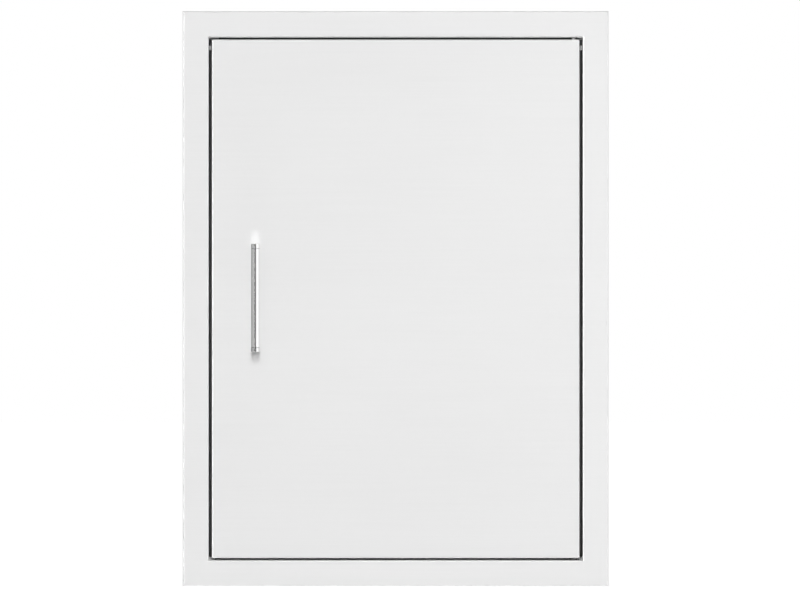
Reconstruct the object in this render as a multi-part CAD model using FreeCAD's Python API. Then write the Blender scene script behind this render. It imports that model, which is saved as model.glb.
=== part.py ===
import FreeCAD, Part
import math
import os

Vector = FreeCAD.Vector

# Access door unit for the front wall of an outdoor kitchen island.
# X runs to the right, Y into the wall and Z up. All lengths are in millimetres.
# The origin is the centre of the wall's cut-out, on the wall's front face.
# The door hangs on pivots at its right edge and closes on magnets at its left edge.

# Frame, folded from sheet
frame_width = 508.0
frame_height = 685.8
face_width = 31.3
frame_standoff = 25.4
frame_sheet = 1.2
frame_bend = 0.4
rear_lip = 10.0
side_ledge = 8.7
end_ledge = 13.2
sleeve_depth = 39.6

# Fixing holes through the sides of the sleeve
fixing_hole_radius = 2.5
fixing_hole_end_distance = 49.6
fixing_hole_depth = 20.0

# Foam seals on the ledge
seal_thickness = 4.4
seal_width = 6.5
head_seal_width = 9.4
head_notch_length = 11.5
head_notch_depth = 2.6
seal_edge_gap = 0.1
seal_round = 1.5
seal_end_gap = 3.5
seal_joint_gap = 0.4
side_seal_drop = 15.0

# Door pan and its liner
door_side_gap = 3.2
door_end_gap = 2.3
door_depth = 18.0
door_sheet = 1.2
door_bend = 0.3
door_lip = 16.0
liner_sheet = 1.0
liner_inset = 5.0
liner_corner = 3.0
dish_border = 45.0
dish_depth = 4.0
dish_corner = 24.0

# Blind rivets that hold the liner
rivet_radius = 1.6
rivet_head_radius = 2.9
rivet_head_height = 1.0
rivet_tail = 1.5
rivet_lip_margin = 5.5
rivets_per_side = 4

# Bar handle
handle_length = 129.0
handle_radius = 5.5
handle_wall = 1.0
handle_edge_distance = 52.3
handle_clearance = 28.0
handle_rise = 1.0
post_end_distance = 16.5
post_radius = 4.0
post_thread_depth = 10.0
cap_length = 5.4
cap_radius = 5.6
cap_round = 0.3
cap_seam = 0.4
cap_seam_depth = 0.5
cap_spigot_length = 8.0
cap_spigot_fit = 0.05

# Handle fixings inside the door
doubler_width = 36.0
doubler_end_margin = 19.0
doubler_sheet = 1.5
doubler_corner = 6.0
screw_radius = 2.0
screw_hole_clearance = 0.25
screw_head_radius = 4.0
screw_head_height = 2.4
screw_head_bevel = 0.9
screw_engagement = 8.0
washer_radius = 5.0
washer_sheet = 0.8

# Door pivots
pivot_edge_distance = 7.5
pivot_depth = 6.6
pivot_radius = 2.5
pivot_fit = 0.075
pivot_reach = 8.0
pivot_chamfer = 0.8
stub_flange_radius = 4.6
stub_flange_height = 2.0
bush_radius = 3.5
bush_fit = 0.05
bush_flange_radius = 4.5
bush_flange = 1.0
bush_tail = 2.0
pivot_washer_radius = 5.0

# Sprung upper pin, its bracket and its lever
bracket_sheet = 1.5
bracket_bend = 0.5
bracket_drop = 8.0
bracket_reach = 12.5
bracket_breadth = 9.0
collar_clearance = 0.1
collar_height = 4.0
roll_pin_radius = 0.8
spring_length = 22.0
spring_wire = 0.7
spring_mean_radius = 3.6
spring_turns = 5
spring_seat_gap = 0.15
lever_bend = 6.0
lever_drop = 7.3
lever_angle = 45.0
lever_tip_behind_liner = 9.0
lever_round = 1.0
lever_travel = 8.5
lever_slot_clearance = 1.0
lever_slot_corner = 2.0

# Magnetic catches on the free side
catch_end_distance = 120.0
catch_width = 14.0
catch_height = 36.0
catch_depth = 14.0
catch_round = 1.5
catch_gap = 0.2
pole_proud = 0.8
pole_sheet = 1.5
pole_length = 11.0
pole_height = 30.0
magnet_width = 5.0
magnet_depth = 8.0
magnet_setback = 1.5
magnet_fit = 0.1
ear_height = 12.0
ear_thickness = 2.5
ear_breadth = 8.0
ear_round = 2.0
ear_slot_length = 6.0
catch_screw_radius = 1.5
catch_screw_head_radius = 2.8
catch_screw_head_height = 1.8
catch_screw_length = 6.0

# Strike plates on the liner
strike_width = 12.0
strike_height = 40.0
strike_sheet = 1.5
strike_edge_gap = 0.5
strike_corner = 2.0
strike_rivet_spacing = 28.0
strike_rivet_head_radius = 2.8
strike_rivet_head_height = 1.1

# How far cutting tools run past the faces that they cut
overrun = 1.0

# Places worked out from the sizes above
frame_x = frame_width / 2
frame_z = frame_height / 2
open_x = frame_x - face_width
open_z = frame_z - face_width
sleeve_x = open_x - side_ledge
sleeve_z = open_z - end_ledge
sleeve_outside_x = sleeve_x + frame_sheet
front_y = -frame_standoff
ledge_y = -frame_sheet
door_x = open_x - door_side_gap
door_z = open_z - door_end_gap
pan_back_y = front_y + door_depth
liner_back_y = pan_back_y + liner_sheet
pan_inside_y = front_y + door_sheet
pivot_x = door_x - pivot_edge_distance
pivot_y = front_y + pivot_depth
handle_x = handle_edge_distance - door_x
handle_y = front_y - handle_clearance - handle_radius
post_z = handle_length / 2 - post_end_distance
strike_back_y = liner_back_y + strike_sheet
strike_centre_x = -door_x + liner_inset + strike_edge_gap + strike_width / 2
fixing_hole_z = sleeve_z + frame_sheet - fixing_hole_end_distance
catch_z = door_z - catch_end_distance
collar_radius = pivot_edge_distance - door_sheet - bracket_sheet - bracket_bend - collar_clearance

up = Vector(0, 0, 1)
down = Vector(0, 0, -1)
left = Vector(-1, 0, 0)
right = Vector(1, 0, 0)
back = Vector(0, 1, 0)
front = Vector(0, -1, 0)


def block(x0, x1, y0, y1, z0, z1):
    """Box between two corners, whichever way round they are given."""
    low = Vector(min(x0, x1), min(y0, y1), min(z0, z1))
    return Part.makeBox(abs(x1 - x0), abs(y1 - y0), abs(z1 - z0), low)


def rod(radius, base, direction, length):
    """Round bar from a base point."""
    return Part.makeCylinder(radius, length, base, direction)


def fillet_where(solid, radius, chosen):
    """Round the edges whose middle point passes the test."""
    edges = [edge for edge in solid.Edges if chosen(edge.CenterOfMass)]
    return solid.makeFillet(radius, edges)


def near(a, b):
    """True where two coordinates are the same place."""
    return abs(a - b) < 1e-4


def outline(start, *steps):
    """Closed wire in the XZ plane. A step is an end point, or an arc's middle and end points."""
    edges = []
    here = Vector(start[0], 0, start[1])
    for step in steps + (start,):
        if isinstance(step[0], tuple):
            middle = Vector(step[0][0], 0, step[0][1])
            there = Vector(step[1][0], 0, step[1][1])
            edges.append(Part.Arc(here, middle, there).toShape())
        else:
            there = Vector(step[0], 0, step[1])
            edges.append(Part.LineSegment(here, there).toShape())
        here = there
    return Part.Wire(edges)


def turned(base, direction, start, *steps):
    """Solid of revolution. The outline gives radius and height from the base point."""
    solid = Part.Face(outline(start, *steps)).revolve(Vector(0, 0, 0), up, 360)
    solid.Placement = FreeCAD.Placement(base, FreeCAD.Rotation(up, direction))
    return solid


def dome_step(radius, height):
    """Arc step from the crown of a low dome down to its rim."""
    sphere = (radius ** 2 + height ** 2) / (2 * height)
    half_angle = math.asin(radius / sphere) / 2
    middle = (sphere * math.sin(half_angle), height - sphere + sphere * math.cos(half_angle))
    return (middle, (radius, 0))


def rounded_rectangle(half_x, half_z, radius, y):
    """Wire round the Y axis, with its four corners as arcs."""
    bow = radius * (1 - math.sqrt(0.5))
    steps = []
    for sx, sz in ((1, 1), (-1, 1), (-1, -1), (1, -1)):
        across = (sx * (half_x - radius), sz * half_z)
        along = (sx * half_x, sz * (half_z - radius))
        middle = (sx * (half_x - bow), sz * (half_z - bow))
        first, last = (along, across) if sx * sz > 0 else (across, along)
        steps.append(first)
        steps.append((middle, last))
    wire = outline(steps[0], *steps[1:])
    wire.translate(Vector(0, y, 0))
    return wire


def rounded_plate(half_x, half_z, radius, y0, y1):
    """Flat plate across the Y axis, with round corners."""
    face = Part.Face(rounded_rectangle(half_x, half_z, radius, y0))
    return face.extrude(Vector(0, y1 - y0, 0))


def folded_sheet(points, thickness, inside_radius, place, run):
    """Sheet folded along points on its middle surface, with round bends, drawn out along run.

    The points are pairs in the plane of the section, and place turns a pair into a 3D point.
    """
    half = thickness / 2
    middle_radius = inside_radius + half
    corners = [Vector(a, b, 0) for a, b in points]
    ways = [(after - before).normalize() for before, after in zip(corners, corners[1:])]

    def offset(point, way, side):
        return point + up.cross(way) * side * half

    sides = {side: [offset(corners[0], ways[0], side)] for side in (1, -1)}
    for corner, before, after in zip(corners[1:-1], ways, ways[1:]):
        bend = 1 if before.cross(after).z > 0 else -1
        reach = middle_radius * math.tan(before.getAngle(after) / 2)
        start = corner - before * reach
        end = corner + after * reach
        centre = start + up.cross(before) * bend * middle_radius
        outward = (corner - centre).normalize()
        for side in sides:
            crown = centre + outward * (middle_radius - side * bend * half)
            sides[side].append(offset(start, before, side))
            sides[side].append((crown, offset(end, after, side)))
    for side in sides:
        sides[side].append(offset(corners[-1], ways[-1], side))

    edges = []
    for side in sides:
        here = sides[side][0]
        for step in sides[side][1:]:
            if isinstance(step, tuple):
                middle, there = step
                edges.append(Part.Arc(place(*here[:2]), place(*middle[:2]), place(*there[:2])).toShape())
            else:
                there = step
                edges.append(Part.LineSegment(place(*here[:2]), place(*there[:2])).toShape())
            here = there
    for end in (0, -1):
        edges.append(Part.LineSegment(place(*sides[1][end][:2]), place(*sides[-1][end][:2])).toShape())
    wire = Part.Wire(Part.__sortEdges__(edges))
    return Part.Face(wire).extrude(run)


def mirrored(solid, normal):
    """Copy of a solid on the other side of a plane through the origin."""
    return solid.mirror(Vector(0, 0, 0), normal)


def frame_section(outer, opening, sleeve):
    """Middle line of a frame member, from the rear lip round the face to the sleeve's back edge."""
    half = frame_sheet / 2
    return [
        (outer - rear_lip, -half),
        (outer - half, -half),
        (outer - half, front_y + half),
        (opening + half, front_y + half),
        (opening + half, -half),
        (sleeve + half, -half),
        (sleeve + half, sleeve_depth),
    ]


def corner_steps():
    """Points of the joint between a stile and the head, from the sleeve out to the mitre."""
    ledge_foot_z = sleeve_z + frame_bend + frame_sheet
    beyond = frame_sheet
    return [
        (sleeve_outside_x, ledge_foot_z),
        (open_x, ledge_foot_z),
        (open_x, open_z),
        (frame_x + beyond, frame_z + beyond),
    ]


def trim_prism(points):
    """Tool as deep as the frame, with the given front view."""
    wire = outline(points[0], *points[1:])
    wire.translate(Vector(0, front_y - overrun, 0))
    return Part.Face(wire).extrude(Vector(0, frame_standoff + sleeve_depth + 2 * overrun, 0))


def frame_head():
    """Top member: mitred face, full-width ledge and the sleeve's top side."""
    strip = folded_sheet(frame_section(frame_z, open_z, sleeve_z), frame_sheet, frame_bend,
                         lambda u, y: Vector(-frame_x, y, u), Vector(frame_width, 0, 0))
    half = [(sleeve_outside_x, sleeve_z - overrun)] + corner_steps()
    other = [(-x, z) for x, z in reversed(half)]
    strip = strip.common(trim_prism(half + other))
    hole_base = Vector(pivot_x, pivot_y, open_z - overrun)
    return strip.cut(rod(bush_radius + bush_fit, hole_base, up, frame_sheet + 2 * overrun))


def frame_sill():
    """Bottom member, the head turned over."""
    return mirrored(frame_head(), up)


def frame_stile(side):
    """Side member: 1 is the hinge side and -1 the catch side."""
    strip = folded_sheet(frame_section(frame_x, open_x, sleeve_x), frame_sheet, frame_bend,
                         lambda u, y: Vector(u, y, -frame_z), Vector(0, 0, frame_height))
    half = [(sleeve_x - overrun, sleeve_z), (sleeve_outside_x, sleeve_z)] + corner_steps()
    other = [(x, -z) for x, z in reversed(half)]
    strip = strip.common(trim_prism(half + other))
    for z in (-fixing_hole_z, fixing_hole_z):
        strip = strip.cut(rod(fixing_hole_radius, Vector(sleeve_x - overrun, fixing_hole_depth, z),
                              right, frame_sheet + 2 * overrun))
    if side < 0:
        strip = mirrored(strip, right)
        for centre in catch_screw_places():
            strip = strip.cut(rod(catch_screw_radius, centre, left, catch_screw_length))
    return strip


def seal_strip(x0, x1, z0, z1, in_corner):
    """Foam strip on the ledge. Its front edges are rounded, and the edges that lie in a bend."""
    front_of_seal = ledge_y - seal_thickness
    corner_round = frame_bend + 2 * seal_edge_gap
    strip = block(x0, x1, front_of_seal, ledge_y, z0, z1)
    strip = fillet_where(strip, seal_round, lambda middle: near(middle.y, front_of_seal))
    return fillet_where(strip, corner_round, lambda middle: near(middle.y, ledge_y) and in_corner(middle))


def seal_head():
    """Wide strip under the head, the full width of the opening, notched at its two upper corners."""
    top = open_z - seal_edge_gap
    reach = open_x - seal_edge_gap
    strip = seal_strip(-reach, reach, top - head_seal_width, top,
                       lambda middle: near(middle.z, top) or near(abs(middle.x), reach))
    front_of_seal = ledge_y - seal_thickness
    for side in (-1, 1):
        strip = strip.cut(block(side * (reach - head_notch_length), side * (reach + overrun),
                                front_of_seal - overrun, ledge_y + overrun,
                                top - head_notch_depth, top + overrun))
    return strip


def seal_sill():
    """Narrow strip above the sill, between the two side strips."""
    bottom = seal_edge_gap - open_z
    reach = open_x - seal_edge_gap - seal_width - seal_joint_gap
    return seal_strip(-reach, reach, bottom, bottom + seal_width, lambda middle: near(middle.z, bottom))


def seal_side(side):
    """Narrow strip beside the opening, short of the sill and of the head's strip."""
    outer = open_x - seal_edge_gap
    bottom = seal_edge_gap + seal_end_gap - open_z
    return seal_strip(side * (outer - seal_width), side * outer, bottom, open_z - side_seal_drop,
                      lambda middle: near(abs(middle.x), outer))


def pan_body(inset, radius):
    """Round-edged block of the door's outline, drawn in all round by the inset."""
    body = block(inset - door_x, door_x - inset, front_y + inset, pan_back_y - inset,
                 inset - door_z, door_z - inset)
    return body.makeFillet(radius, body.Edges)


def lever_point(y):
    """Point on the lever's axis at a given depth."""
    run = (y - pivot_y) / math.tan(math.radians(lever_angle))
    return Vector(pivot_x - run, y, lever_axis_z())


def lever_axis_z():
    """Height of the lever's level part."""
    return bracket_bottom_z() - lever_drop


def bracket_top_z():
    """Upper face of the bracket's upper leg."""
    return door_z - bracket_drop


def bracket_bottom_z():
    """Lower face of the bracket's lower leg."""
    return bracket_top_z() - 2 * bracket_sheet - collar_height - spring_length


def lever_slot():
    """Tool for the slot that the lever comes out through, as long as its travel."""
    slant = math.sin(math.radians(lever_angle))
    half = pivot_radius / slant + lever_slot_clearance
    high_x = lever_point(pan_back_y - door_sheet).x + half
    low_x = lever_point(liner_back_y).x - half
    top = lever_axis_z() + pivot_radius + lever_slot_clearance
    bottom = lever_axis_z() - lever_travel - pivot_radius - lever_slot_clearance
    tool = rounded_plate((high_x - low_x) / 2, (top - bottom) / 2, lever_slot_corner,
                         pan_back_y - door_sheet - overrun, liner_back_y + overrun)
    tool.translate(Vector((high_x + low_x) / 2, 0, (top + bottom) / 2))
    return tool


def door_skin():
    """Folded pan with its edges turned in at the back."""
    pan = pan_body(0, door_bend + door_sheet).cut(pan_body(door_sheet, door_bend))
    window_x = door_x - door_lip
    window_z = door_z - door_lip
    through = door_sheet + 2 * overrun
    pan = pan.cut(block(-window_x, window_x, pan_back_y - door_sheet - overrun, pan_back_y + overrun,
                        -window_z, window_z))
    for end in (-1, 1):
        base = Vector(pivot_x, pivot_y, end * (door_z - door_sheet - overrun))
        pan = pan.cut(rod(pivot_radius + pivot_fit, base, up * end, through))
    for place in handle_screw_places():
        pan = pan.cut(rod(screw_radius + screw_hole_clearance, place + front * overrun, back, through))
    for place in liner_rivet_places() + strike_rivet_places():
        base = Vector(place.x, pan_back_y + overrun, place.z)
        pan = pan.cut(rod(rivet_radius, base, front, through))
    return pan.cut(lever_slot())


def dish(depth_shift, spread):
    """Tapered block with sides at 45 degrees, for the pressed field of the liner."""
    half_x = door_x - liner_inset - dish_border + spread
    half_z = door_z - liner_inset - dish_border + spread
    rim_y = liner_back_y - depth_shift
    rim = rounded_rectangle(half_x, half_z, dish_corner, rim_y)
    floor = rounded_rectangle(half_x - dish_depth, half_z - dish_depth, dish_corner - dish_depth,
                              rim_y - dish_depth)
    return Part.makeLoft([rim, floor], True, True)


def door_liner():
    """Back plate with a pressed field, slotted for the lever."""
    plate = rounded_plate(door_x - liner_inset, door_z - liner_inset, liner_corner,
                          pan_back_y, liner_back_y)
    spread = liner_sheet * (math.sqrt(2) - 1)
    plate = plate.fuse(dish(liner_sheet, spread)).cut(dish(0, 0))
    for place in liner_rivet_places() + strike_rivet_places():
        base = Vector(place.x, liner_back_y + overrun, place.z)
        plate = plate.cut(rod(rivet_radius, base, front, liner_sheet + 2 * overrun))
    return plate.removeSplitter().cut(lever_slot())


def liner_rivet_places():
    """Seats of the liner's rivets, all round the pan's lip."""
    reach_x = door_x - door_lip + rivet_lip_margin
    reach_z = door_z - door_lip + rivet_lip_margin
    places = []
    for i in range(rivets_per_side):
        share = 2 * i / (rivets_per_side - 1) - 1
        for side in (-1, 1):
            places.append(Vector(side * reach_x, liner_back_y, share * reach_z))
            if abs(share) < 1:
                places.append(Vector(share * reach_x, liner_back_y, side * reach_z))
    return places


def liner_rivet(place):
    """Domed blind rivet through the liner and the pan's lip."""
    tip = -liner_sheet - door_sheet - rivet_tail
    return turned(place, back,
                  (0, rivet_head_height),
                  dome_step(rivet_head_radius, rivet_head_height),
                  (rivet_radius, 0),
                  (rivet_radius, tip),
                  (0, tip))


def liner_rivets():
    """All the liner's rivets."""
    return Part.Compound([liner_rivet(place) for place in liner_rivet_places()])


def handle_tube():
    """Bar of the handle, a plain tube between its two end plugs."""
    length = handle_length - 2 * (cap_length + cap_seam)
    base = Vector(handle_x, handle_y, handle_rise - length / 2)
    return rod(handle_radius, base, up, length).cut(rod(handle_radius - handle_wall, base, up, length))


def handle_cap(end):
    """Turned end plug: 1 is the upper end and -1 the lower."""
    foot = handle_length / 2 - cap_length - cap_seam
    base = Vector(handle_x, handle_y, handle_rise + end * foot)
    spigot_radius = handle_radius - handle_wall - cap_spigot_fit
    seam_radius = handle_radius - cap_seam_depth
    top = cap_seam + cap_length
    bow = cap_round * (1 - math.sqrt(0.5))
    return turned(base, up * end,
                  (0, -cap_spigot_length),
                  (spigot_radius, -cap_spigot_length),
                  (spigot_radius, 0),
                  (seam_radius, 0),
                  (seam_radius, cap_seam),
                  (cap_radius, cap_seam),
                  (cap_radius, top - cap_round),
                  ((cap_radius - bow, top - bow), (cap_radius - cap_round, top)),
                  (0, top))


def handle_screw_places():
    """Points on the door's face behind the two posts."""
    return [Vector(handle_x, front_y, handle_rise + end * post_z) for end in (-1, 1)]


def handle_post(end):
    """Stand-off between door and bar, saddled to the bar and tapped for its screw."""
    base = Vector(handle_x, front_y, handle_rise + end * post_z)
    post = rod(post_radius, base, front, handle_clearance + handle_radius)
    saddle = rod(handle_radius, Vector(handle_x, handle_y, base.z - 2 * post_radius), up, 4 * post_radius)
    return post.cut(saddle).cut(rod(screw_radius, base, front, post_thread_depth))


def handle_doubler():
    """Stiffening plate behind the door's face."""
    plate = rounded_plate(doubler_width / 2, post_z + doubler_end_margin, doubler_corner,
                          pan_inside_y, pan_inside_y + doubler_sheet)
    plate.translate(Vector(handle_x, 0, handle_rise))
    for place in handle_screw_places():
        plate = plate.cut(rod(screw_radius + screw_hole_clearance, place, back,
                              door_sheet + doubler_sheet + overrun))
    return plate


def handle_washers():
    """Plain washers under the two screw heads."""
    washers = []
    for place in handle_screw_places():
        base = Vector(place.x, pan_inside_y + doubler_sheet, place.z)
        hole = rod(screw_radius + screw_hole_clearance, base, back, washer_sheet)
        washers.append(rod(washer_radius, base, back, washer_sheet).cut(hole))
    return Part.Compound(washers)


def handle_screws():
    """Screws with bevelled heads, from inside the door into the posts."""
    seat_y = pan_inside_y + doubler_sheet + washer_sheet
    shank = seat_y - front_y + screw_engagement
    screws = []
    for place in handle_screw_places():
        screws.append(turned(Vector(place.x, seat_y, place.z), back,
                             (0, -shank),
                             (screw_radius, -shank),
                             (screw_radius, 0),
                             (screw_head_radius, 0),
                             (screw_head_radius, screw_head_height - screw_head_bevel),
                             (screw_head_radius - screw_head_bevel, screw_head_height),
                             (0, screw_head_height)))
    return Part.Compound(screws)


def pivot_bush(end):
    """Flanged plastic bush in the frame: 1 in the head and -1 in the sill."""
    base = Vector(pivot_x, pivot_y, end * open_z)
    bore = pivot_radius + pivot_fit
    top = frame_sheet + bush_tail
    return turned(base, up * end,
                  (bore, -bush_flange),
                  (bush_flange_radius, -bush_flange),
                  (bush_flange_radius, 0),
                  (bush_radius, 0),
                  (bush_radius, top),
                  (bore, top))


def pivot_washer():
    """Thrust washer on the lower bush, which carries the door."""
    base = Vector(pivot_x, pivot_y, -door_z)
    thickness = door_end_gap - bush_flange
    washer = rod(pivot_washer_radius, base, down, thickness)
    return washer.cut(rod(pivot_radius + pivot_fit, base, down, thickness))


def lower_pivot_pin():
    """Flanged stub through the bottom of the door."""
    base = Vector(pivot_x, pivot_y, door_sheet - door_z)
    tip = -door_sheet - pivot_reach
    return turned(base, up,
                  (0, stub_flange_height),
                  (stub_flange_radius, stub_flange_height),
                  (stub_flange_radius, 0),
                  (pivot_radius, 0),
                  (pivot_radius, tip + pivot_chamfer),
                  (pivot_radius - pivot_chamfer, tip),
                  (0, tip))


def upper_pivot_bracket():
    """Channel welded inside the hinge edge of the door, which guides the pin and seats its spring."""
    half = bracket_sheet / 2
    web_x = door_x - door_sheet - half
    tip_x = door_x - door_sheet - bracket_reach
    high = bracket_top_z() - half
    low = bracket_bottom_z() + half
    near_y = pivot_y - bracket_breadth / 2
    channel = folded_sheet([(tip_x, high), (web_x, high), (web_x, low), (tip_x, low)],
                           bracket_sheet, bracket_bend,
                           lambda x, z: Vector(x, near_y, z), Vector(0, bracket_breadth, 0))
    hole_base = Vector(pivot_x, pivot_y, bracket_bottom_z() - overrun)
    height = bracket_top_z() - bracket_bottom_z() + 2 * overrun
    return channel.cut(rod(pivot_radius + pivot_fit, hole_base, up, height))


def collar_top_z():
    """Upper face of the collar, against the bracket's upper leg."""
    return bracket_top_z() - bracket_sheet


def collar_roll_pin():
    """Cross pin that locks the collar to the pivot pin."""
    centre_z = collar_top_z() - collar_height / 2
    return rod(roll_pin_radius, Vector(pivot_x, pivot_y - collar_radius, centre_z), back, 2 * collar_radius)


def pin_collar():
    """Collar on the pivot pin, pushed up by the spring."""
    base = Vector(pivot_x, pivot_y, collar_top_z())
    collar = rod(collar_radius, base, down, collar_height)
    return collar.cut(rod(pivot_radius, base, down, collar_height)).cut(collar_roll_pin())


def upper_pivot_pin():
    """Sliding pivot pin, bent at its lower end into a lever that comes out of the door's back."""
    tip_z = door_z + pivot_reach
    bend_z = lever_axis_z() + lever_bend
    angle = math.radians(lever_angle)
    out = Vector(-math.cos(angle), math.sin(angle), 0)
    top = Vector(pivot_x, pivot_y, tip_z)
    bend_start = Vector(pivot_x, pivot_y, bend_z)
    bend_end = Vector(pivot_x, pivot_y, lever_axis_z()) + out * lever_bend
    bow = lever_bend * (1 - math.sqrt(0.5))
    bend_middle = Vector(pivot_x, pivot_y, lever_axis_z() + bow) + out * bow
    lever_tip = lever_point(liner_back_y + lever_tip_behind_liner)
    path = Part.Wire([
        Part.LineSegment(top, bend_start).toShape(),
        Part.Arc(bend_start, bend_middle, bend_end).toShape(),
        Part.LineSegment(bend_end, lever_tip).toShape(),
    ])
    section = Part.Wire(Part.makeCircle(pivot_radius, top, down))
    pin = path.makePipeShell([section], True, False)
    pin = pin.makeChamfer(pivot_chamfer, [edge for edge in pin.Edges if near(edge.BoundBox.ZMin, tip_z)])
    pin = fillet_where(pin, lever_round, lambda middle: (middle - lever_tip).Length < 0.01)
    return pin.cut(collar_roll_pin())


def helix_point(angle, radius, pitch):
    """Point and unit direction on a helix about the Z axis."""
    point = Vector(radius * math.cos(angle), radius * math.sin(angle), pitch * angle / (2 * math.pi))
    way = Vector(-radius * math.sin(angle), radius * math.cos(angle), pitch / (2 * math.pi))
    return point, way.normalize()


def tangent_arc(start, way, end):
    """Arc that leaves a point in a given direction and ends at another."""
    chord = end - start
    aside = way - chord * (way.dot(chord) / chord.dot(chord))
    half_turn = way.getAngle(chord)
    rise = chord.Length / 2 * math.tan(half_turn / 2)
    middle = start + chord * 0.5 + aside.normalize() * rise
    return Part.Arc(start, middle, end).toShape()


def biarc(start, start_way, end, end_way):
    """Two arcs that join two points and share a direction where they meet."""
    span = end - start
    ways = start_way + end_way
    spread = 2 * (1 - start_way.dot(end_way))
    reach = (math.sqrt(span.dot(ways) ** 2 + spread * span.dot(span)) - span.dot(ways)) / spread
    joint = (start + end + (start_way - end_way) * reach) * 0.5
    first = tangent_arc(start, start_way, joint)
    second_way = (joint - (start + start_way * reach)).normalize()
    second = tangent_arc(joint, second_way, end)
    return [first, second]


def pivot_spring():
    """Compression spring round the pin, between the bracket's lower leg and the collar."""
    seated = spring_length - spring_wire - 2 * spring_seat_gap
    pitch = seated / spring_turns
    edges = []
    for i in range(2 * spring_turns):
        start, start_way = helix_point(i * math.pi, spring_mean_radius, pitch)
        end, end_way = helix_point((i + 1) * math.pi, spring_mean_radius, pitch)
        edges += biarc(start, start_way, end, end_way)
    start, start_way = helix_point(0, spring_mean_radius, pitch)
    section = Part.Wire(Part.makeCircle(spring_wire / 2, start, start_way))
    coil = Part.Wire(edges).makePipeShell([section], True, False)
    print("least gap between the spring's turns", round(spring_least_gap(pitch), 2))
    base_z = bracket_bottom_z() + bracket_sheet + spring_seat_gap + spring_wire / 2
    coil.translate(Vector(pivot_x, pivot_y, base_z))
    return coil


def spring_least_gap(pitch):
    """Least clear distance between neighbouring turns, measured on points along the wire."""
    steps_per_turn = 48
    points = [helix_point(2 * math.pi * i / steps_per_turn, spring_mean_radius, pitch)[0]
              for i in range(spring_turns * steps_per_turn + 1)]
    gaps = []
    for i, point in enumerate(points):
        for other in points[i + steps_per_turn // 2:]:
            gaps.append((other - point).Length)
    return min(gaps) - spring_wire


def catch_heights():
    """Heights of the two catches, upper first."""
    return {"upper": catch_z, "lower": -catch_z}


def catch_frame():
    """Middle of a catch across the opening, and its front and back faces."""
    centre_x = catch_width / 2 - sleeve_x
    front_of_catch = strike_back_y + catch_gap + pole_proud
    return centre_x, front_of_catch, front_of_catch + catch_depth


def catch_screw_places():
    """Seats of the catch screws on the ears."""
    back_of_catch = catch_frame()[2]
    y = back_of_catch - ear_breadth / 2
    offset = catch_height / 2 + ear_height / 2
    return [Vector(ear_thickness - sleeve_x, y, z + end * offset)
            for z in catch_heights().values() for end in (-1, 1)]


def catch_housing(z):
    """Moulded body on the sleeve, with an ear above and below and a pocket for the magnet."""
    centre_x, front_of_catch, back_of_catch = catch_frame()
    body = block(-sleeve_x, catch_width - sleeve_x, front_of_catch, back_of_catch,
                 z - catch_height / 2, z + catch_height / 2)
    body = fillet_where(body, catch_round, lambda middle: near(middle.x, catch_width - sleeve_x))
    ears = block(-sleeve_x, ear_thickness - sleeve_x, back_of_catch - ear_breadth, back_of_catch,
                 z - catch_height / 2 - ear_height, z + catch_height / 2 + ear_height)
    ears = fillet_where(ears, ear_round, lambda middle: near(middle.x, ear_thickness / 2 - sleeve_x))
    body = body.fuse(ears)
    half_pocket = magnet_width / 2 + pole_sheet + magnet_fit
    pocket_back = front_of_catch - pole_proud + pole_length + magnet_fit
    body = body.cut(block(centre_x - half_pocket, centre_x + half_pocket,
                          front_of_catch - overrun, pocket_back,
                          z - pole_height / 2 - magnet_fit, z + pole_height / 2 + magnet_fit))
    half_slot = ear_slot_length / 2 - catch_screw_radius
    for place in catch_screw_places():
        outside = place + right * overrun
        through = ear_thickness + 2 * overrun
        for end in (-1, 1):
            body = body.cut(rod(catch_screw_radius, outside + up * end * half_slot, left, through))
        body = body.cut(block(outside.x, outside.x - through,
                              place.y - catch_screw_radius, place.y + catch_screw_radius,
                              place.z - half_slot, place.z + half_slot))
    return body.removeSplitter()


def catch_magnet(z):
    """Magnet between the two pole plates."""
    centre_x, front_of_catch, _ = catch_frame()
    front_of_magnet = front_of_catch - pole_proud + magnet_setback
    return block(centre_x - magnet_width / 2, centre_x + magnet_width / 2,
                 front_of_magnet, front_of_magnet + magnet_depth,
                 z - pole_height / 2, z + pole_height / 2)


def catch_poles(z):
    """Pair of steel plates that stand proud of the housing and meet the strike."""
    centre_x, front_of_catch, _ = catch_frame()
    front_of_pole = front_of_catch - pole_proud
    inner = magnet_width / 2
    return Part.Compound([
        block(centre_x + side * inner, centre_x + side * (inner + pole_sheet),
              front_of_pole, front_of_pole + pole_length,
              z - pole_height / 2, z + pole_height / 2)
        for side in (-1, 1)
    ])


def catch_screws():
    """Round-head screws through the ears into the sleeve."""
    screws = []
    for place in catch_screw_places():
        screws.append(turned(place, right,
                             (0, catch_screw_head_height),
                             dome_step(catch_screw_head_radius, catch_screw_head_height),
                             (catch_screw_radius, 0),
                             (catch_screw_radius, -catch_screw_length),
                             (0, -catch_screw_length)))
    return Part.Compound(screws)


def strike_rivet_places():
    """Seats of the strike rivets, on the back face of the strike plates."""
    return [Vector(strike_centre_x, strike_back_y, z + end * strike_rivet_spacing / 2)
            for z in catch_heights().values() for end in (-1, 1)]


def strike_rivet(place):
    """Flush rivet through strike, liner and lip."""
    tip = -strike_sheet - liner_sheet - door_sheet - rivet_tail
    return turned(place, back,
                  (0, 0),
                  (strike_rivet_head_radius, 0),
                  (rivet_radius, -strike_rivet_head_height),
                  (rivet_radius, tip),
                  (0, tip))


def strike_rivets():
    """All the strike rivets."""
    return Part.Compound([strike_rivet(place) for place in strike_rivet_places()])


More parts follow.
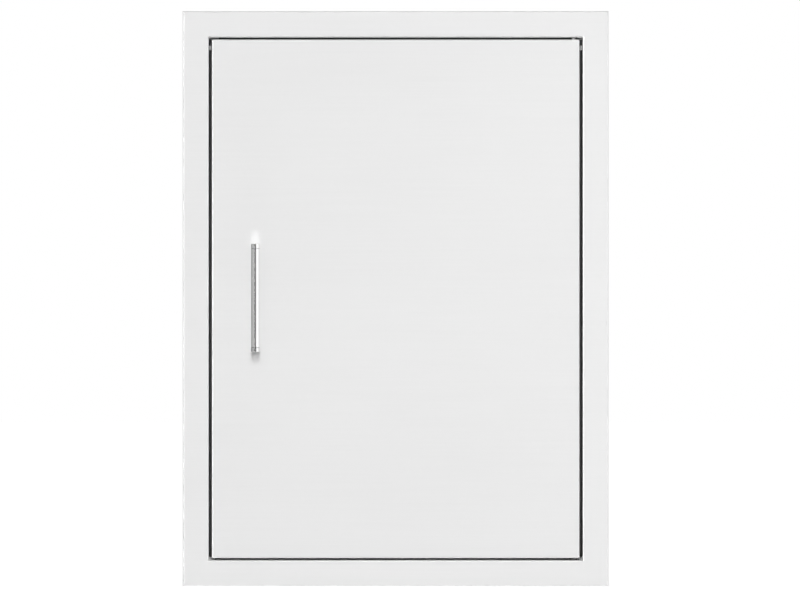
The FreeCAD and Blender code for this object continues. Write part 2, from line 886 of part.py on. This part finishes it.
def strike_plate(z):
    """Steel plate that the magnet pulls on, countersunk for its rivets."""
    plate = rounded_plate(strike_width / 2, strike_height / 2, strike_corner,
                          liner_back_y, strike_back_y)
    plate.translate(Vector(strike_centre_x, 0, z))
    return plate.cut(strike_rivets())


def save(name, shape):
    """Write one piece under its own name."""
    shape.exportStep("parts/" + name + ".step")


def main():
    """Build every piece of the door unit."""
    os.makedirs("parts", exist_ok=True)
    save("frame_head", frame_head())
    save("frame_sill", frame_sill())
    save("frame_stile_hinge", frame_stile(1))
    save("frame_stile_latch", frame_stile(-1))
    save("seal_head", seal_head())
    save("seal_sill", seal_sill())
    save("seal_hinge", seal_side(1))
    save("seal_latch", seal_side(-1))
    save("door_skin", door_skin())
    save("door_liner", door_liner())
    save("liner_rivets", liner_rivets())
    save("handle_tube", handle_tube())
    save("handle_doubler", handle_doubler())
    save("handle_washers", handle_washers())
    save("handle_screws", handle_screws())
    for name, end in (("upper", 1), ("lower", -1)):
        save("handle_cap_" + name, handle_cap(end))
        save("handle_post_" + name, handle_post(end))
        save("pivot_bush_" + name, pivot_bush(end))
    save("pivot_washer", pivot_washer())
    save("lower_pivot_pin", lower_pivot_pin())
    save("upper_pivot_bracket", upper_pivot_bracket())
    save("upper_pivot_pin", upper_pivot_pin())
    save("pin_collar", pin_collar())
    save("collar_roll_pin", collar_roll_pin())
    save("pivot_spring", pivot_spring())
    for name, z in catch_heights().items():
        save("catch_housing_" + name, catch_housing(z))
        save("catch_magnet_" + name, catch_magnet(z))
        save("catch_poles_" + name, catch_poles(z))
        save("strike_plate_" + name, strike_plate(z))
    save("catch_screws", catch_screws())
    save("strike_rivets", strike_rivets())


main()
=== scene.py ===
import math

import bmesh
import bpy
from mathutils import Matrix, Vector

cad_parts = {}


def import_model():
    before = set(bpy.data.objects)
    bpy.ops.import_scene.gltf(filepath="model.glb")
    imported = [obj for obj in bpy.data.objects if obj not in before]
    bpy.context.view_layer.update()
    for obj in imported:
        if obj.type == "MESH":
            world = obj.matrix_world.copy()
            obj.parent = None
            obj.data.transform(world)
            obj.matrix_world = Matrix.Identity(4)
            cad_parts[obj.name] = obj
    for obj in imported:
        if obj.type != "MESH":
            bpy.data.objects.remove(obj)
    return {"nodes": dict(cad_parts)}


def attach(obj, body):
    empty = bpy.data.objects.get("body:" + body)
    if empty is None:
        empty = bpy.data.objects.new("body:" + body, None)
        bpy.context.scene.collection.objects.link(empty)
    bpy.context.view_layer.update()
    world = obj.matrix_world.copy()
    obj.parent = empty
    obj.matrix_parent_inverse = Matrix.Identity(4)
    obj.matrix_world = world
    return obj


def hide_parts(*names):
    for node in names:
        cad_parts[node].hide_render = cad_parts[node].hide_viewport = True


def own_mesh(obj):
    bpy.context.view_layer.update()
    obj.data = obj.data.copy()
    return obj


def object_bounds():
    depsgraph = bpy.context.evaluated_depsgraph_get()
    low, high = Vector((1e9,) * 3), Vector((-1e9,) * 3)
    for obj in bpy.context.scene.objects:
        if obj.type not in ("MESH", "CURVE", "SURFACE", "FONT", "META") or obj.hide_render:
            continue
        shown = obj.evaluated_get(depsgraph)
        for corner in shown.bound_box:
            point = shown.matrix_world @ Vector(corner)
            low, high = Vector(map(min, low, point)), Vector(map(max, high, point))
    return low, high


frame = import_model()
cad_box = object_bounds()
nodes = frame["nodes"]
mm = 0.001


# Node helpers

def add(tree, kind, **settings):
    """New node with its settings; a name that is an input sets that input."""
    node = tree.nodes.new(kind)
    for name, value in settings.items():
        if name in node.inputs:
            node.inputs[name].default_value = value
        else:
            setattr(node, name, value)
    return node


def feed(tree, socket, value):
    """Gives an input a number, or another socket's value."""
    if isinstance(value, (int, float)):
        socket.default_value = value
    else:
        tree.links.new(value, socket)


def maths(tree, operation, *values):
    """Math node fed by numbers or by other sockets."""
    node = add(tree, "ShaderNodeMath", operation=operation)
    for socket, value in zip(node.inputs, values):
        feed(tree, socket, value)
    return node.outputs[0]


def ramp(tree, value, low, high, to_low, to_high):
    """A value moved from one range to another, and held at the ends."""
    node = add(tree, "ShaderNodeMapRange", clamp=True)
    tree.links.new(value, node.inputs["Value"])
    for name, number in (("From Min", low), ("From Max", high), ("To Min", to_low), ("To Max", to_high)):
        node.inputs[name].default_value = number
    return node.outputs["Result"]


def mixed(tree, share, a, b):
    """A value between two sockets or numbers."""
    node = tree.nodes.new("ShaderNodeMix")
    tree.links.new(share, node.inputs[0])
    feed(tree, node.inputs[2], a)
    feed(tree, node.inputs[3], b)
    return node.outputs[0]


def parts_of(tree, vector):
    """The X, Y and Z of a vector."""
    node = tree.nodes.new("ShaderNodeSeparateXYZ")
    tree.links.new(vector, node.inputs[0])
    return node.outputs["X"], node.outputs["Y"], node.outputs["Z"]


def place_of(tree, scale, offset=(0.0, 0.0, 0.0)):
    """Object coordinates times a scale, and moved."""
    coords = tree.nodes.new("ShaderNodeTexCoord")
    node = add(tree, "ShaderNodeMapping", Scale=scale, Location=offset)
    tree.links.new(coords.outputs["Object"], node.inputs["Vector"])
    return node.outputs["Vector"]


def noise(tree, vector, detail=3.0, rough=0.5):
    """Noise value at a vector."""
    node = add(tree, "ShaderNodeTexNoise", Scale=1.0, Detail=detail, Roughness=rough)
    tree.links.new(vector, node.inputs["Vector"])
    return node.outputs["Fac"]


def material(name, **sockets):
    """New material and its shader, with constant numbers set on the shader."""
    made = bpy.data.materials.new(name)
    made.use_nodes = True
    shader = made.node_tree.nodes["Principled BSDF"]
    for socket, value in sockets.items():
        shader.inputs[socket.replace("_", " ")].default_value = value
    return made, made.node_tree, shader


def shade(tree, shader, dark, light, value, low, high):
    """Base colour between two tones."""
    mix = add(tree, "ShaderNodeMix", data_type="RGBA")
    mix.inputs[6].default_value = (*dark, 1)
    mix.inputs[7].default_value = (*light, 1)
    tree.links.new(ramp(tree, value, low, high, 0, 1), mix.inputs[0])
    tree.links.new(mix.outputs[2], shader.inputs["Base Color"])


def shade_grey(tree, shader, level):
    """Base colour of equal red, green and blue."""
    colour = tree.nodes.new("ShaderNodeCombineColor")
    for channel in ("Red", "Green", "Blue"):
        tree.links.new(level, colour.inputs[channel])
    tree.links.new(colour.outputs[0], shader.inputs["Base Color"])


def roughen(tree, shader, value, low, high):
    """Roughness that follows a noise between two levels."""
    tree.links.new(ramp(tree, value, 0.3, 0.7, low, high), shader.inputs["Roughness"])


def emboss(tree, shader, value, depth):
    """Fine relief of a given depth in metres."""
    bump = add(tree, "ShaderNodeBump", Strength=1.0, Distance=depth)
    tree.links.new(value, bump.inputs["Height"])
    tree.links.new(bump.outputs["Normal"], shader.inputs["Normal"])


def grain_tangent(tree, shader, across):
    """Lays the grain: the shader's wide direction, given in the object's own axes."""
    turn = add(tree, "ShaderNodeVectorTransform", vector_type="VECTOR", convert_from="OBJECT",
               convert_to="WORLD")
    turn.inputs[0].default_value = across
    tree.links.new(turn.outputs[0], shader.inputs["Tangent"])


# Materials

def grain_place(tree, along, across):
    """Coordinates stretched along the grain, which runs round the vertical faces and along the level ones."""
    steepest_level = 0.7
    coords = tree.nodes.new("ShaderNodeTexCoord")
    normal_z = parts_of(tree, coords.outputs["Normal"])[2]
    x, y, z = parts_of(tree, coords.outputs["Object"])
    level = maths(tree, "GREATER_THAN", maths(tree, "ABSOLUTE", normal_z), steepest_level)
    out = tree.nodes.new("ShaderNodeCombineXYZ")
    for axis, value, scale in (("X", x, along), ("Y", y, ramp(tree, level, 0, 1, along, across)),
                               ("Z", z, across)):
        tree.links.new(maths(tree, "MULTIPLY", value, scale), out.inputs[axis])
    return out.outputs[0]


def recess(tree):
    """One on the surfaces inside the opening, behind the face, and nought elsewhere."""
    reach_x, reach_z = 0.2245, 0.3135
    face_start, face_end = -0.0238, -0.0228
    ledge_start, ledge_end = -0.0012, 0.0
    x, y, z = parts_of(tree, place_of(tree, (1.0, 1.0, 1.0)))
    beside = maths(tree, "LESS_THAN", maths(tree, "ABSOLUTE", x), reach_x)
    between = maths(tree, "LESS_THAN", maths(tree, "ABSOLUTE", z), reach_z)
    behind = ramp(tree, y, face_start, face_end, 0, 1)
    before = ramp(tree, y, ledge_start, ledge_end, 1, 0)
    return maths(tree, "MULTIPLY", maths(tree, "MULTIPLY", beside, between),
                 maths(tree, "MULTIPLY", behind, before))


def brushed_sheet(name, tone, rough, inner_tone=None):
    """Brushed stainless sheet with level grain, and a duller mill finish inside the opening."""
    along, across = 8.0, 600.0
    tone_range, rough_range, inner_range = 0.025, 0.006, 0.03
    inner_rough = 0.45
    relief = 0.0000003
    made, tree, shader = material(name, Metallic=1.0, Anisotropic=1.0)
    lines = noise(tree, grain_place(tree, along, across), 2.0)
    clouds = noise(tree, place_of(tree, (3.0, 3.0, 5.0)), 2.0)
    tint = maths(tree, "ADD", maths(tree, "MULTIPLY", lines, 0.4), maths(tree, "MULTIPLY", clouds, 0.6))
    level = ramp(tree, tint, 0.1, 0.9, tone - tone_range, tone + tone_range)
    roughness = ramp(tree, tint, 0.1, 0.9, rough + rough_range, rough - rough_range)
    if inner_tone:
        inside = recess(tree)
        inner = ramp(tree, lines, 0.3, 0.7, inner_tone - inner_range, inner_tone + inner_range)
        level = mixed(tree, inside, level, inner)
        roughness = mixed(tree, inside, roughness, inner_rough)
    shade_grey(tree, shader, level)
    tree.links.new(roughness, shader.inputs["Roughness"])
    emboss(tree, shader, lines, relief)
    grain_tangent(tree, shader, (0.0, 0.05, 1.0))
    return made


def bar_steel(name, dark, light):
    """Bar handle, satin along its length, with painted shade on the sunk floor of the groove at the seam of
    each end plug.
    """
    to_centre = (0.1672, 0.0589, -0.001)
    seam_height, seam_half = 0.0589, 0.00035
    barrel_radius = 0.00535
    # painted shade: a near-black base colour in the seam groove, in place of the groove's shade
    painted_shade_tone = 0.12
    made, tree, shader = material(name, Metallic=1.0, Anisotropic=0.3)
    fine = noise(tree, place_of(tree, (2600.0, 2600.0, 14.0)), 3.0, 0.6)
    x, y, z = parts_of(tree, place_of(tree, (1.0, 1.0, 1.0), to_centre))
    squares = maths(tree, "ADD", maths(tree, "MULTIPLY", x, x), maths(tree, "MULTIPLY", y, y))
    sunk = maths(tree, "LESS_THAN", maths(tree, "SQRT", squares), barrel_radius)
    from_seam = maths(tree, "ABSOLUTE", maths(tree, "SUBTRACT", maths(tree, "ABSOLUTE", z), seam_height))
    # the groove's sunk floor at each seam, where the painted shade goes
    seam = maths(tree, "MULTIPLY", maths(tree, "LESS_THAN", from_seam, seam_half), sunk)
    shade_grey(tree, shader, mixed(tree, seam, ramp(tree, fine, 0.35, 0.65, dark, light), painted_shade_tone))
    roughen(tree, shader, fine, 0.07, 0.10)
    emboss(tree, shader, fine, 0.000001)
    grain_tangent(tree, shader, (1.0, 0.3, 0.0))
    return made


def turned_steel():
    """Turned stainless, with fine rings from the tool."""
    made, tree, shader = material("stainless_turned", Metallic=1.0)
    rings = noise(tree, place_of(tree, (300.0, 300.0, 5200.0)), 2.0)
    shade(tree, shader, (0.56, 0.56, 0.56), (0.68, 0.68, 0.68), rings, 0.3, 0.7)
    roughen(tree, shader, rings, 0.18, 0.30)
    emboss(tree, shader, rings, 0.000004)
    return made


def speckled(name, scale, detail, grain, dark, light, rough, relief=None, **sockets):
    """Material with an even fine speckle: its scale, two tones, two roughness levels and relief."""
    made, tree, shader = material(name, **sockets)
    spots = noise(tree, place_of(tree, (scale, scale, scale)), detail, grain)
    shade(tree, shader, dark, light, spots, 0.35, 0.65)
    roughen(tree, shader, spots, *rough)
    if relief:
        emboss(tree, shader, spots, relief)
    return made


def moulded(name, dark, light):
    """Moulded plastic with a fine spark-eroded texture."""
    made, tree, shader = material(name)
    spots = noise(tree, place_of(tree, (2400.0, 2400.0, 2400.0)), 2.0)
    broad = noise(tree, place_of(tree, (60.0, 60.0, 60.0)), 2.0)
    shade(tree, shader, dark, light, broad, 0.35, 0.65)
    roughen(tree, shader, spots, 0.42, 0.62)
    emboss(tree, shader, spots, 0.00003)
    return made


finishes = {
    "sheet_door": brushed_sheet("stainless_door", 0.86, 0.285),
    "sheet_frame": brushed_sheet("stainless_frame", 0.87, 0.285, inner_tone=0.86),
    "sheet_inner": brushed_sheet("stainless_inner", 0.68, 0.40),
    "bar": bar_steel("stainless_bar", 0.93, 0.98),
    # painted shade: the lower plug is the bar's own steel in a darker copy, as its lower end falls in shade
    "lower_plug_shaded": bar_steel("stainless_plug_shaded", 0.78, 0.86),
    "turned": turned_steel(),
    "zinc": speckled("zinc_steel", 420.0, 3.0, 0.6, (0.46, 0.48, 0.51), (0.62, 0.63, 0.64),
                     (0.30, 0.48), 0.00001, Metallic=1.0),
    "wire": speckled("spring_wire", 1500.0, 2.0, 0.5, (0.46, 0.46, 0.47), (0.60, 0.60, 0.61),
                     (0.22, 0.36), Metallic=1.0),
    "foam": speckled("seal_foam", 1800.0, 3.0, 0.6, (0.150, 0.150, 0.150), (0.220, 0.220, 0.220),
                     (0.75, 0.95), 0.00012, Specular_IOR_Level=0.25),
    "nylon": moulded("black_nylon", (0.018, 0.018, 0.018), (0.032, 0.032, 0.032)),
    "plastic": moulded("catch_plastic", (0.030, 0.030, 0.032), (0.050, 0.050, 0.053)),
    "ferrite": speckled("ferrite", 1200.0, 4.0, 0.7, (0.035, 0.035, 0.038), (0.085, 0.085, 0.09),
                        (0.45, 0.7), 0.00004),
}

node_finishes = {
    "sheet_frame": ["frame_head", "frame_sill", "frame_stile_hinge", "frame_stile_latch"],
    "sheet_door": ["door_skin"],
    "sheet_inner": ["door_liner"],
    "bar": ["handle_tube", "handle_cap_upper"],
    # the lower cap takes the darker, painted-shade copy of the bar's steel
    "lower_plug_shaded": ["handle_cap_lower"],
    "turned": ["handle_post_upper", "handle_post_lower", "lower_pivot_pin", "upper_pivot_pin", "pin_collar",
               "liner_rivets", "strike_rivets", "handle_screws", "handle_washers", "catch_screws"],
    "zinc": ["strike_plate_upper", "strike_plate_lower", "catch_poles_upper", "catch_poles_lower",
             "handle_doubler", "upper_pivot_bracket"],
    "wire": ["pivot_spring", "collar_roll_pin"],
    "foam": ["seal_head", "seal_sill", "seal_hinge", "seal_latch"],
    "nylon": ["pivot_bush_upper", "pivot_bush_lower", "pivot_washer"],
    "plastic": ["catch_housing_upper", "catch_housing_lower"],
    "ferrite": ["catch_magnet_upper", "catch_magnet_lower"],
}

missing = set(nodes)
for finish, names in node_finishes.items():
    for name in names:
        nodes[name].data.materials.clear()
        nodes[name].data.materials.append(finishes[finish])
        missing.discard(name)
if missing:
    raise ValueError("no finish for " + ", ".join(sorted(missing)))


# Small fasteners, finer than their solids, in millimetres

strike_z = 189.3


def dome_height(radius, rise, r):
    """Height of a low dome at a distance from its middle."""
    sphere = (radius ** 2 + rise ** 2) / (2 * rise)
    return math.sqrt(sphere ** 2 - r ** 2) - sphere + rise


def lathed(name, places, out, spins, angles, rings, body, node):
    """Closed round steel pieces, one at each place, in one object that stands for a node.

    A ring is a pair of radius and height, or a function that gives the pair at an angle.
    """
    sharp = math.radians(32)
    out = Vector(out)
    side = Vector((0.0, 0.0, 1.0))
    other = out.cross(side)
    shape = bmesh.new()
    for place, spin in zip(places, spins):
        before = None
        for ring in rings:
            points = []
            for angle in angles:
                radius, height = ring(angle) if callable(ring) else ring
                turned = angle + spin
                away = side * math.cos(turned) + other * math.sin(turned)
                points.append((Vector(place) + out * height + away * radius) * mm)
                if radius == 0:
                    break
            after = [shape.verts.new(point) for point in points]
            if before:
                for i in range(len(angles)):
                    corners = [before[i % len(before)], before[(i + 1) % len(before)],
                               after[(i + 1) % len(after)], after[i % len(after)]]
                    shape.faces.new(list(dict.fromkeys(corners)))
            before = after
    bmesh.ops.recalc_face_normals(shape, faces=shape.faces)
    made = bpy.data.meshes.new(name)
    shape.to_mesh(made)
    shape.free()
    made.shade_smooth()
    made.set_sharp_from_angle(angle=sharp)
    made.materials.append(finishes["turned"])
    obj = bpy.data.objects.new(name, made)
    bpy.context.scene.collection.objects.link(obj)
    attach(obj, body)
    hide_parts(node)


def rivets(name, places, rings, node):
    """Rivets through the liner, all facing back."""
    angles = [math.radians(11.25 * i) for i in range(32)]
    lathed(name, places, (0, 1, 0), [0.0] * len(places), angles, rings, "door", node)


def blind_rivets():
    """Domed blind rivets round the liner, each with the stub of its mandrel in its middle."""
    reach_x, reach_z, seat_y = 209.0, 298.8, -6.4
    head, rise, shank, tail = 2.9, 1.0, 1.6, 3.7
    places = []
    for share in (-1, -1 / 3, 1 / 3, 1):
        for way in (-1, 1):
            places.append((way * reach_x, seat_y, share * reach_z))
            if abs(share) < 1:
                places.append((share * reach_x, seat_y, way * reach_z))
    rings = [(0, 0.42), (0.45, 0.38), (0.78, 0.22), (0.86, 0.30)]
    rings += [(r, dome_height(head, rise, r) - sunk) for r, sunk in ((0.92, 0.04), (1.05, 0.0))]
    rings += [(r, dome_height(head, rise, r)) for r in (1.5, 2.0, 2.45, 2.75, head)]
    rings += [(shank, 0.0), (shank, -2.2), (shank, -3.45), (1.35, -tail), (0, -tail)]
    rivets("rivets_blind", places, rings, "liner_rivets")


def flush_rivets():
    """Countersunk blind rivets in the strike plates."""
    seat_x, seat_y, step_z = -208.0, -4.9, 14
    head, shank, tail = 2.7, 1.6, 5.2
    places = [(seat_x, seat_y, z + step) for z in (strike_z, -strike_z) for step in (-step_z, step_z)]
    rings = [(0, -0.35), (0.45, -0.38), (0.78, -0.5), (0.86, -0.42), (0.92, -0.06), (1.0, 0.0),
             (head, 0.0), (2.78, -0.05), (shank, -1.1), (shank, -4.95), (1.35, -tail), (0, -tail)]
    rivets("rivets_flush", places, rings, "strike_rivets")


cross_half, cross_arm = 0.35, 1.45


def cross_radius(angle):
    """Outline of a cross recess: arms 0.7 mm wide that reach 1.45 mm from the middle."""
    turned = angle % (math.pi / 2)
    turned = min(turned, math.pi / 2 - turned)
    if math.tan(turned) < cross_half / cross_arm + 1e-6:
        return cross_arm / math.cos(turned)
    return cross_half / math.sin(turned)


def catch_screw_heads():
    """Tapping screws of the catches, with a cross recess and a threaded shank."""
    seat_x, seat_y, step_z = -211.5, 6.1, 24
    head, rise, shank, root, pitch = 2.8, 1.8, 1.5, 1.15, 0.75
    edge, depth = 0.05, 0.06
    corner = math.degrees(math.atan2(cross_half, cross_arm))
    steps = (0.0, corner, 24.0, 34.5, 45.0, 55.5, 66.0, 90.0 - corner)
    angles = [math.radians(90.0 * quarter + step) for quarter in range(4) for step in steps]

    def floor_ring(angle):
        return cross_radius(angle) * 0.55, 0.75

    def wall_ring(angle):
        return cross_radius(angle) * 0.96, dome_height(head, rise, cross_radius(angle)) - depth

    def rim_ring(angle):
        return cross_radius(angle) + edge, dome_height(head, rise, cross_radius(angle) + edge)

    rings = [(0, 0.55), floor_ring, wall_ring, rim_ring]
    rings += [(r, dome_height(head, rise, r)) for r in (1.8, 2.2, 2.5, 2.7, head)]
    rings += [(shank, 0.0), (shank, -0.5)]
    for turn in range(6):
        rings += [(root, -0.85 - pitch * turn), (shank, -1.2 - pitch * turn)]
    rings += [(1.1, -5.2), (0.3, -5.9), (0, -6.0)]
    places = [(seat_x, seat_y, z + step) for z in (strike_z, -strike_z) for step in (-step_z, step_z)]
    lathed("screws_catch", places, (1, 0, 0), [0.3, 1.1, 0.7, 0.1], angles, rings, "frame", "catch_screws")


def pin_spring():
    """The spring under the pivot pin's collar, copied with a mesh of its own and carried with the door; the
    copy keeps its length as the pin goes down.
    """
    still = nodes["pivot_spring"]
    obj = bpy.data.objects.new("spring_of_pin", still.data.copy())
    obj.matrix_world = still.matrix_world.copy()
    bpy.context.scene.collection.objects.link(obj)
    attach(obj, "door")
    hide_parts("pivot_spring")
    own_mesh(obj)


blind_rivets()
flush_rivets()
catch_screw_heads()
pin_spring()


# Floor, world, cards, lamp and camera

def seen_by_shiny(tree):
    """One for camera, glossy and transmission rays, and nought for the rest."""
    path = tree.nodes.new("ShaderNodeLightPath")
    shiny = maths(tree, "MAXIMUM", path.outputs["Is Glossy Ray"], path.outputs["Is Transmission Ray"])
    return maths(tree, "MAXIMUM", path.outputs["Is Camera Ray"], shiny)


def glow_of(tree, strength):
    """White glow."""
    return add(tree, "ShaderNodeEmission", Color=(1, 1, 1, 1), Strength=strength).outputs[0]


def flat_mesh(name, corners, surface):
    """Stage object of one face."""
    made = bpy.data.meshes.new(name)
    made.from_pydata(corners, [], [tuple(range(len(corners)))])
    made.materials.append(surface)
    obj = bpy.data.objects.new(name, made)
    bpy.context.scene.collection.objects.link(obj)
    return obj


def floor():
    """Plain pale floor under the unit."""
    pale = 0.86
    reach = 40.0
    low = cad_box[0][2]
    surface, tree, shader = material("floor_white", Base_Color=(pale, pale, pale, 1), Roughness=0.9,
                                     Specular_IOR_Level=0.0)
    lit = tree.nodes.new("ShaderNodeAddShader")
    either = tree.nodes.new("ShaderNodeMixShader")
    tree.links.new(shader.outputs[0], lit.inputs[0])
    tree.links.new(glow_of(tree, 0.42), lit.inputs[1])
    tree.links.new(seen_by_shiny(tree), either.inputs[0])
    tree.links.new(shader.outputs[0], either.inputs[1])
    tree.links.new(lit.outputs[0], either.inputs[2])
    tree.links.new(either.outputs[0], tree.nodes["Material Output"].inputs["Surface"])
    corners = [(-reach, -reach, low), (reach, -reach, low), (reach, reach, low), (-reach, reach, low)]
    flat_mesh("floor", corners, surface).visible_glossy = False


def world():
    """White to the camera and in the metal, and a plain level of light."""
    plain, white = 0.72, 1.0
    made = bpy.data.worlds.new("studio")
    bpy.context.scene.world = made
    made.use_nodes = True
    tree = made.node_tree
    background = tree.nodes["Background"]
    background.inputs["Color"].default_value = (1, 1, 1, 1)
    tree.links.new(ramp(tree, seen_by_shiny(tree), 0, 1, plain, white), background.inputs["Strength"])


def card(name, corners, level):
    """Studio card that only reflections see."""
    surface = bpy.data.materials.new(name)
    surface.use_nodes = True
    tree = surface.node_tree
    tree.nodes.remove(tree.nodes["Principled BSDF"])
    tree.links.new(glow_of(tree, level), tree.nodes["Material Output"].inputs["Surface"])
    obj = flat_mesh(name, corners, surface)
    for ray in ("camera", "diffuse", "transmission", "volume_scatter", "shadow"):
        setattr(obj, "visible_" + ray, False)
    surface.cycles.emission_sampling = "NONE"


def upright(name, start, end, span, level):
    """Card that stands on a line in plan, over a span of heights."""
    low, high = span
    card(name, [(*start, low), (*end, low), (*end, high), (*start, high)], level)


def lying(name, reach, front, height, level):
    """Level card, from its front edge back to the plane of the wall."""
    card(name, [(-reach, front, height), (reach, front, height), (reach, 0.0, height), (-reach, 0.0, height)],
         level)


def cards():
    """Dark and light cards that shape the reflections in the bar, the sheets and the bends.

    All are far off but the top one, which is near so that it dims the upper part of the door a little.
    """
    half, high, deep = 1.6, 16.5, 62.0
    low, band, sky, edge = (-deep, -half), (-half, half), (half, high), (-half, high)
    upright("card_low_front", (-7.0, -36.0), (7.0, -36.0), low, 0.18)
    upright("card_low_front_left", (-36.0, -36.0), (-7.0, -36.0), low, 0.80)
    upright("card_low_left", (-36.0, -6.3), (-36.0, -36.0), low, 0.80)
    upright("card_sky_left", (-7.7, -36.0), (0.0, -36.0), sky, 2.35)
    upright("card_sky_right", (0.0, -36.0), (7.0, -36.0), sky, 2.915)
    upright("card_sky_far_right", (7.0, -36.0), (36.0, -36.0), sky, 2.185)
    upright("card_low_front_right", (7.0, -36.0), (36.0, -36.0), low, 0.75)
    upright("card_low_right", (36.0, -36.0), (36.0, -9.6), low, 0.75)
    upright("card_bright_left", (-16.0, -36.0), (-7.7, -36.0), sky, 11.0)
    upright("card_grey_front", (-36.0, -36.0), (-16.0, -36.0), sky, 0.40)
    upright("card_grey_left", (-36.0, -6.3), (-36.0, -36.0), sky, 0.40)
    upright("card_edge_left", (-36.0, 14.0), (-36.0, -6.3), edge, 0.20)
    upright("card_dark", (-14.0, -35.0), (14.2, -35.0), band, 0.16)
    upright("card_dim_front", (-35.0, -35.0), (-14.0, -35.0), band, 0.45)
    upright("card_dim_left", (-35.0, -6.3), (-35.0, -35.0), band, 0.52)
    upright("card_light", (14.8, -35.0), (35.0, -35.0), band, 1.1)
    upright("card_right", (35.0, -35.0), (35.0, 0.0), band, 1.1)
    upright("card_edge_right", (36.0, -9.6), (36.0, 14.0), edge, 0.40)
    lying("card_top", 9.5, -9.0, high / 4, 0.45)
    lying("card_bottom", 38.0, -38.0, -deep, 2.40)


def lamp():
    """Soft lamp above the front, which gives the plastics and the floor their shading."""
    place = Vector((0.0, -4.5, 2.0))
    data = bpy.data.lights.new("lamp_above", "AREA")
    data.shape = "RECTANGLE"
    data.size, data.size_y = 3.0, 2.6
    data.energy = 16
    obj = bpy.data.objects.new("lamp_above", data)
    obj.location = place
    obj.rotation_euler = (-place).to_track_quat("-Z", "Y").to_euler()
    obj.visible_camera = False
    obj.visible_glossy = False
    bpy.context.scene.collection.objects.link(obj)


def camera():
    """Level long-lens view, straight at the front."""
    distance = 30.0
    width_at_front = 0.954
    front_y = -0.0254
    aside, height = 0.0052, -0.0015
    data = bpy.data.cameras.new("camera")
    data.sensor_width = 36.0
    data.lens = data.sensor_width * distance / width_at_front
    data.clip_end = 100.0
    obj = bpy.data.objects.new("camera", data)
    obj.location = (aside, front_y - distance, height)
    obj.rotation_euler = (math.pi / 2, 0, 0)
    bpy.context.scene.collection.objects.link(obj)
    bpy.context.scene.camera = obj


floor()
world()
cards()
lamp()
camera()
bpy.context.scene.view_settings.view_transform = "Standard"
